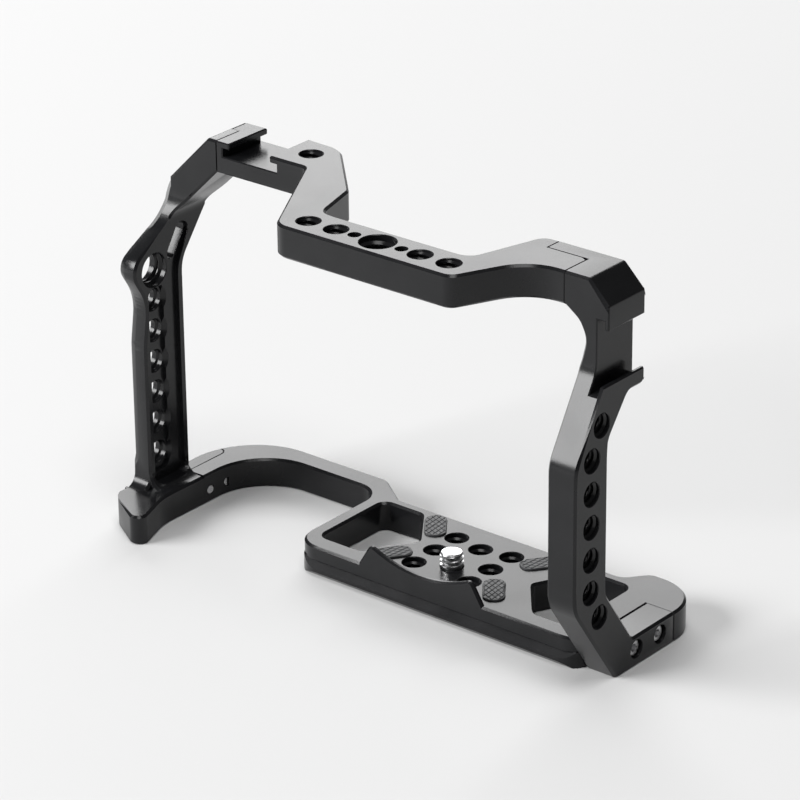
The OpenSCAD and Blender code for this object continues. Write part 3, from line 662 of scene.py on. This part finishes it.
# Half the height of a hole's thread, as a share of the pitch at its root and in length at its crest
ROOT_SHARE = 0.46
CREST_HALF = 0.09

# Steps in a turn, steps over which a thread fades in, and its height where it begins, as a share
STEPS = 28
FADE_STEPS = STEPS / 4
FADE_LOW = 0.05


def ridge(bm, place, low, high, root, crest, pitch, root_half, crest_half):
    """A closed helical ridge from low to high, fading out at both ends.

    place maps (u, v, w), with w along the axis, to a point.
    """
    count = int((high - low) / pitch * STEPS)
    rings = []
    for k in range(count + 1):
        fade = min(1.0, k / FADE_STEPS, (count - k) / FADE_STEPS)
        angle = TAU * k / STEPS
        level = low + (high - low) * k / count
        tip = root + (crest - root) * (FADE_LOW + (1 - FADE_LOW) * fade)
        section = ((root, -root_half), (tip, -crest_half), (tip, crest_half), (root, root_half))
        rings.append([
            bm.verts.new(place(r * math.cos(angle), r * math.sin(angle), level + h))
            for r, h in section])
    for a, b in zip(rings, rings[1:]):
        for k in range(4):
            bm.faces.new((a[k], a[(k + 1) % 4], b[(k + 1) % 4], b[k]))
    bm.faces.new(rings[0][::-1])
    bm.faces.new(rings[-1])


def hole_place(hole):
    axis, a, b = hole[:3]
    if axis == "x":
        return lambda u, v, w: (w, a + u, b + v)
    return lambda u, v, w: (a + u, b + v, w)


def add_threads(bm, node):
    for hole in HOLES[node]:
        _, _, _, low, high, radius = hole
        wall, crest, pitch = COARSE if radius == LARGE_R else FINE
        half = pitch * ROOT_SHARE
        ridge(
            bm, hole_place(hole), low + THREAD_END + half, high - THREAD_END - half,
            wall + WALL_SINK, crest, pitch, half, CREST_HALF)


def frame_piece(node):
    bm = chamfered(node)
    add_threads(bm, node)
    finish_piece(bm, node + "_finished", "cage", node, "black_anodised", PLAIN_SHARP)


# Turned parts

CAMERA_SCREW_SEGMENTS = 96
WASHER_SEGMENTS = 64

# The camera screw: its thread's core and its tip, its neck and where that ends, its head's rim and
# heights, and the outline from axis to axis as (radius, height)
CORE_R = 2.6
CORE_LOW = -0.62
TIP = 4.3
NECK_R = 2.3
NECK_HIGH = -0.95
RIM_R = 5.65
HEAD_LOW = -7.9
HEAD_HIGH = -5.22
CAMERA_SCREW_PROFILE = (
    (0, HEAD_LOW), (RIM_R - 0.45, HEAD_LOW), (RIM_R, HEAD_LOW + 0.4), (RIM_R, HEAD_HIGH - 0.3),
    (RIM_R - 0.3, HEAD_HIGH), (NECK_R, HEAD_HIGH), (NECK_R, NECK_HIGH), (CORE_R, CORE_LOW),
    (CORE_R, TIP - 0.75), (2.95, TIP - 0.6), (2.95, TIP - 0.36), (2.66, TIP - 0.03), (2.58, TIP),
    (0, TIP),
)

# The knurl's depth, which of the outline's points it is on, the slot's size and its overrun
KNURL = 0.13
KNURL_POINTS = slice(2, 4)
SLOT_SIZE = (14.0, 1.4, 2.4)
SLOT_OVER = 0.1

# The camera screw's thread: where it begins, how far it ends below the tip, how far its crest stays
# inside the full radius, and half its height at the root and at the crest
STUD_LOW = -0.12
STUD_END = 0.5
STUD_CREST_GAP = 0.02
STUD_ROOT_HALF = 0.5
STUD_CREST_HALF = 0.16

# The washer: its two faces, its two radii, and the size of its chamfers
WASHER_LOW = -5.15
WASHER_HIGH = -4.65
WASHER_OUTER = 5.45
WASHER_INNER = 2.35
WASHER_EDGE = 0.1
WASHER_WELD = 0.0001


def circle_turns(segments):
    return [TAU * k / segments for k in range(segments)]


def lathe(bm, profile, segments):
    """Turns a profile of (radius, height) points, from axis to axis or closed, about the axis."""
    rings = []
    for r, h in profile:
        if r == 0:
            rings.append([bm.verts.new((0, 0, h))] * segments)
        else:
            turns = circle_turns(segments)
            rings.append([bm.verts.new((r * math.cos(t), r * math.sin(t), h)) for t in turns])
    for a, b in zip(rings, rings[1:]):
        for k in range(segments):
            m = (k + 1) % segments
            corners = list(dict.fromkeys((a[k], a[m], b[m], b[k])))
            if len(corners) > 2:
                bm.faces.new(corners)
    return rings


def camera_screw():
    """Captive 1/4 inch screw: threaded stud above the seat, neck, and a slotted and knurled head."""
    bm = bmesh.new()
    rings = lathe(bm, CAMERA_SCREW_PROFILE, CAMERA_SCREW_SEGMENTS)
    for ring in rings[KNURL_POINTS]:
        for v in ring[::2]:
            v.co.xy *= 1 - KNURL / RIM_R
    slot = bmesh.new()
    bmesh.ops.create_cube(slot, size=1.0)
    bmesh.ops.scale(slot, vec=SLOT_SIZE, verts=slot.verts)
    bmesh.ops.translate(slot, vec=(0, 0, HEAD_LOW - SLOT_OVER), verts=slot.verts)
    bm = cut(bm, slot)
    wall, _, pitch = FINE
    ridge(
        bm, lambda u, v, w: (u, v, w), STUD_LOW, TIP - STUD_END, CORE_R - WALL_SINK,
        wall - STUD_CREST_GAP, pitch, STUD_ROOT_HALF, STUD_CREST_HALF)
    finish_piece(bm, "camera_screw_turned", "screw", "camera_screw", "bright_steel", SCREW_SHARP)


def washer_ring():
    bm = bmesh.new()
    low, high, edge = WASHER_LOW, WASHER_HIGH, WASHER_EDGE
    outer, inner = WASHER_OUTER, WASHER_INNER
    lathe(bm, [
        (inner, low + edge), (inner + edge, low), (outer - edge, low), (outer, low + edge),
        (outer, high - edge), (outer - edge, high), (inner + edge, high), (inner, high - edge),
        (inner, low + edge),
    ], WASHER_SEGMENTS)
    bmesh.ops.remove_doubles(bm, verts=bm.verts, dist=WASHER_WELD)
    finish_piece(bm, "screw_washer_turned", "washer", "screw_washer", "dark_washer", PLAIN_SHARP)


# Joining screws: head height and radius, shank radius, length, half the socket's width across its
# flats, depth of its walls and of its bottom, and the points along each of its sides
HEAD = 2.3
HEAD_R = 2.25
SHANK_R = 1.3
LENGTH = 9.0
SOCKET_HALF = 1.0
SOCKET_WALL = 1.3
SOCKET_BOTTOM = 1.55
SIDES = 6
PER_SIDE = 6

# The socket from its bottom to its mouth, as (share of its width, height), and from there the
# outside of the head and shank, as (radius, height). The head's seat is at height zero.
SOCKET_PROFILE = (
    (0.45, -HEAD + SOCKET_BOTTOM), (0.98, -HEAD + SOCKET_WALL), (1.0, -HEAD + 0.12), (1.12, -HEAD),
)
SCREW_PROFILE = (
    (1.95, -HEAD), (2.2, -2.08), (HEAD_R, -1.95), (HEAD_R, -0.12), (2.13, 0), (SHANK_R, 0),
    (SHANK_R, LENGTH - 0.25), (1.08, LENGTH),
)


def hexagon_points():
    corner = SOCKET_HALF / math.cos(math.pi / SIDES)
    points = []
    for k in range(SIDES):
        a, b = (TAU * (k + m) / SIDES for m in (0, 1))
        for m in range(PER_SIDE):
            t = m / PER_SIDE
            points.append((
                corner * ((1 - t) * math.cos(a) + t * math.cos(b)),
                corner * ((1 - t) * math.sin(a) + t * math.sin(b))))
    return points


def socket_screw(node, seat, direction):
    """A socket head screw from its seat along a direction, head behind the seat."""
    bm = bmesh.new()
    turn = Vector(direction).to_track_quat("Z", "Y").to_matrix()
    segments = SIDES * PER_SIDE

    def ring(points, h):
        return [bm.verts.new(Vector(seat) + turn @ Vector((u, v, h))) for u, v in points]

    def circle(r, h):
        return ring([(r * math.cos(t), r * math.sin(t)) for t in circle_turns(segments)], h)

    def hexagon(share, h):
        return ring([(u * share, v * share) for u, v in hexagon_points()], h)

    rings = [hexagon(share, h) for share, h in SOCKET_PROFILE]
    rings += [circle(r, h) for r, h in SCREW_PROFILE]
    for a, b in zip(rings, rings[1:]):
        for k in range(segments):
            m = (k + 1) % segments
            bm.faces.new((a[k], a[m], b[m], b[k]))
    bm.faces.new(rings[0])
    bm.faces.new(rings[-1])
    finish_piece(bm, node + "_turned", "cage", node, "bright_steel", SCREW_SHARP)


# The seat of each joining screw's head, and the direction of its shank
SCREWS = {
    "far_foot_screw_front": ((57.7, -1.6, -3.78), (-1, 0, 0)),
    "far_foot_screw_rear": ((57.7, 8.5, -3.78), (-1, 0, 0)),
    "grip_foot_screw_front": ((-96.5, 3.1, -4.998), (1, 0, 0)),
    "grip_foot_screw_rear": ((-96.5, 9.9, -4.998), (1, 0, 0)),
    "grip_top_screw_front": ((-81.9, 3.0, 94.15), (1, 0, 0)),
    "grip_top_screw_rear": ((-81.9, 11.8, 94.15), (1, 0, 0)),
    "far_top_screw_inner": ((38.4, -3.1, 96.2), (0, -1, 0)),
    "far_top_screw_outer": ((44.0, -3.1, 96.2), (0, -1, 0)),
}


# Pads

# Distance between parallel grooves, half their width, their depth, and their angle to the pad's length
CELL = 1.4
GROOVE = 0.17
GROOVE_DEPTH = 0.25
GROOVE_ANGLE = 32

# How far the flat top ends inside the pad's edge, how far the edge lies below it, and how far the
# grid stays off its end
BRINK_IN = 0.14
EDGE_DROP = 0.16
GRID_OFF = 0.09

# How much more a face's upward turn counts than its height when a pad's top is looked for, and the
# least squared length that is divided by
UP_WEIGHT = 10
TINY = 1e-9

# Turn of each pad's length from the X axis
PADS = {"pad_rear_left": -53, "pad_rear_right": 53, "pad_front_left": 53, "pad_front_right": -53}


def groove_at(value):
    """1 in the middle of a groove of the grid, 0 from its edges on."""
    offset = abs(value - CELL * round(value / CELL))
    return max(0.0, 1 - offset / GROOVE)


def pad_outline(node):
    """The CAD pad's top outline, counterclockwise, its lowest height and its top's height."""
    bm = cad_mesh(node)
    top = max(bm.faces, key=lambda f: f.calc_center_median().z + UP_WEIGHT * f.normal.z)
    points = [(v.co.x, v.co.y) for v in top.verts]
    height = top.verts[0].co.z
    low = min(v.co.z for v in bm.verts)
    bm.free()
    return points, low, height


def inset(points, gap):
    """The outline moved inward, corner by corner."""
    moved = []
    for before, here, after in zip(points[-1:] + points[:-1], points, points[1:] + points[:1]):
        along = (Vector(after) - Vector(before)).normalized()
        moved.append((here[0] - along.y * gap, here[1] + along.x * gap))
    return moved


def inside(point, outline, gap):
    """Whether a point is in the outline and the gap or more from its edge."""
    if winding(point, outline) == 0:
        return False
    for a, b in zip(outline, outline[1:] + outline[:1]):
        a, b, p = Vector(a), Vector(b), Vector(point)
        along = max(0.0, min(1.0, (p - a).dot(b - a) / max((b - a).length_squared, TINY)))
        if (a + (b - a) * along - p).length < gap:
            return False
    return True


def grid_points(across, outline, brink):
    """Points on the grooves' middles and edges and halfway between them, where they lie in the brink."""
    back = Matrix(across).inverted()
    spots = []
    for normal in across:
        reach = [normal.dot(Vector(p)) for p in outline]
        values = []
        for k in range(math.floor(min(reach) / CELL) - 1, math.ceil(max(reach) / CELL) + 2):
            values += [k * CELL - GROOVE, k * CELL, k * CELL + GROOVE, (k + 0.5) * CELL]
        spots.append(sorted(values))
    places = [back @ Vector((a, b)) for a in spots[0] for b in spots[1]]
    return [tuple(p) for p in places if inside(tuple(p), brink, GRID_OFF)]


def rounded_pair(x, y):
    return round(x, 3), round(y, 3)


def rubber_pad(node):
    """A pad with a grid of raised rhombuses, which are longest along the pad."""
    outline, low, high = pad_outline(node)
    brink = inset(outline, BRINK_IN)
    across = []
    for angle in (PADS[node] + GROOVE_ANGLE, PADS[node] - GROOVE_ANGLE):
        across.append(Vector((-math.sin(rad(angle)), math.cos(rad(angle)))))
    grid = grid_points(across, outline, brink)
    count = len(outline)
    loops = [(k, (k + 1) % count) for k in range(count)]
    loops += [(a + count, b + count) for a, b in loops]
    points, _, triangles, _, _, _ = delaunay_2d_cdt(
        [Vector(p) for p in outline + brink + grid], loops, [], 0, PAD_GRAIN, True)
    bm = bmesh.new()
    corners = []
    edge_points = {rounded_pair(x, y) for x, y in outline}
    for point in points:
        if rounded_pair(point[0], point[1]) in edge_points:
            z = high - EDGE_DROP
        else:
            z = high - GROOVE_DEPTH * max(groove_at(normal.dot(Vector(point))) for normal in across)
        corners.append(bm.verts.new((point[0], point[1], z)))
    for triangle in triangles:
        if winding(middle_of(points, triangle), outline) != 0:
            bm.faces.new([corners[k] for k in triangle])
    rim = [e for e in bm.edges if len(e.link_faces) == 1]
    walls = bmesh.ops.extrude_edge_only(bm, edges=rim)["geom"]
    feet = [v for v in walls if isinstance(v, bmesh.types.BMVert)]
    for v in feet:
        v.co.z = low
    bottom = [e for e in bm.edges if len(e.link_faces) == 1]
    bmesh.ops.contextual_create(bm, geom=bottom)
    for v in [v for v in bm.verts if not v.link_faces]:
        bm.verts.remove(v)
    pad = finish_piece(bm, node + "_gridded", "cage", node, "pad_rubber", PAD_SHARP)


for name in FRAME_NODES:
    frame_piece(name)
camera_screw()
washer_ring()
for name, (seat, direction) in SCREWS.items():
    socket_screw(name, seat, direction)
for name in PADS:
    rubber_pad(name)
for name, obj in frame["nodes"].items():
    slot = next(s["material_slot"] for s in frame["record"]["subparts"] if s["node"] == name)
    obj.data.materials.clear()
    obj.data.materials.append(MATERIALS[slot])


# Stage: floor, lights and camera

FLOOR_COLOUR = (0.715, 0.715, 0.715, 1)
FLOOR_ROUGHNESS = 0.9
FLOOR_RADIUS = 6.0
FLOOR_SEGMENTS = 96
FLOOR_GAP = 0.00005
WHITE = (1, 1, 1, 1)
SKY = 0.1

# Each softbox's place, the point that it faces, its two sides, and its power in watts
SOFTBOXES = {
    "softbox_over": ((0.5, -0.4, 2.4), (0.05, 0, 0.04), (1.2, 1.2), 24),
    "softbox_back_left": ((-1.44, 1.76, 1.08), (0, 0, 0.05), (2.6, 1.4), 48),
    "softbox_front_left": ((-1.44, -1.80, 1.04), (0, 0, 0.05), (1.6, 1.05), 84),
}

# The camera: lens and sensor in millimetres, nearest distance shown, place, and turns in degrees
# about X, Y and Z, which stand where the photograph was taken from
LENS = 175.588
SENSOR = 36.0
CLIP_START = 0.05
CAMERA_PLACE = (0.56918, -0.71137, 0.46159)
CAMERA_TURNS = (65.57, 0.563, 39.233)


def floor():
    """A plain pale floor just under the part."""
    n = Nodes("studio_floor")
    n.shader.inputs["Base Color"].default_value = FLOOR_COLOUR
    n.shader.inputs["Roughness"].default_value = FLOOR_ROUGHNESS
    mesh = bpy.data.meshes.new("studio_floor")
    bm = bmesh.new()
    bmesh.ops.create_circle(bm, cap_ends=True, radius=FLOOR_RADIUS, segments=FLOOR_SEGMENTS)
    bm.to_mesh(mesh)
    bm.free()
    mesh.materials.append(n.material)
    obj = bpy.data.objects.new("studio_floor", mesh)
    obj.location = (0, 0, cad_box[0][2] - FLOOR_GAP)
    bpy.context.scene.collection.objects.link(obj)


def softbox(name, place, target, sides, power):
    light = bpy.data.lights.new(name, "AREA")
    light.shape = "RECTANGLE"
    light.size, light.size_y = sides
    light.energy = power
    obj = bpy.data.objects.new(name, light)
    obj.location = place
    aim = Vector(target) - Vector(place)
    obj.rotation_euler = aim.to_track_quat("-Z", "Y").to_euler()
    bpy.context.scene.collection.objects.link(obj)


def sky():
    world = bpy.data.worlds.new("studio")
    bpy.context.scene.world = world
    world.use_nodes = True
    background = world.node_tree.nodes["Background"]
    background.inputs["Color"].default_value = WHITE
    background.inputs["Strength"].default_value = SKY


def photo_camera():
    data = bpy.data.cameras.new("camera")
    data.sensor_width = SENSOR
    data.lens = LENS
    data.clip_start = CLIP_START
    camera = bpy.data.objects.new("camera", data)
    camera.location = CAMERA_PLACE
    camera.rotation_euler = [rad(turn) for turn in CAMERA_TURNS]
    bpy.context.scene.collection.objects.link(camera)
    bpy.context.scene.camera = camera


floor()
for name, values in SOFTBOXES.items():
    softbox(name, *values)
sky()
photo_camera()
bpy.context.scene.view_settings.view_transform = "Standard"
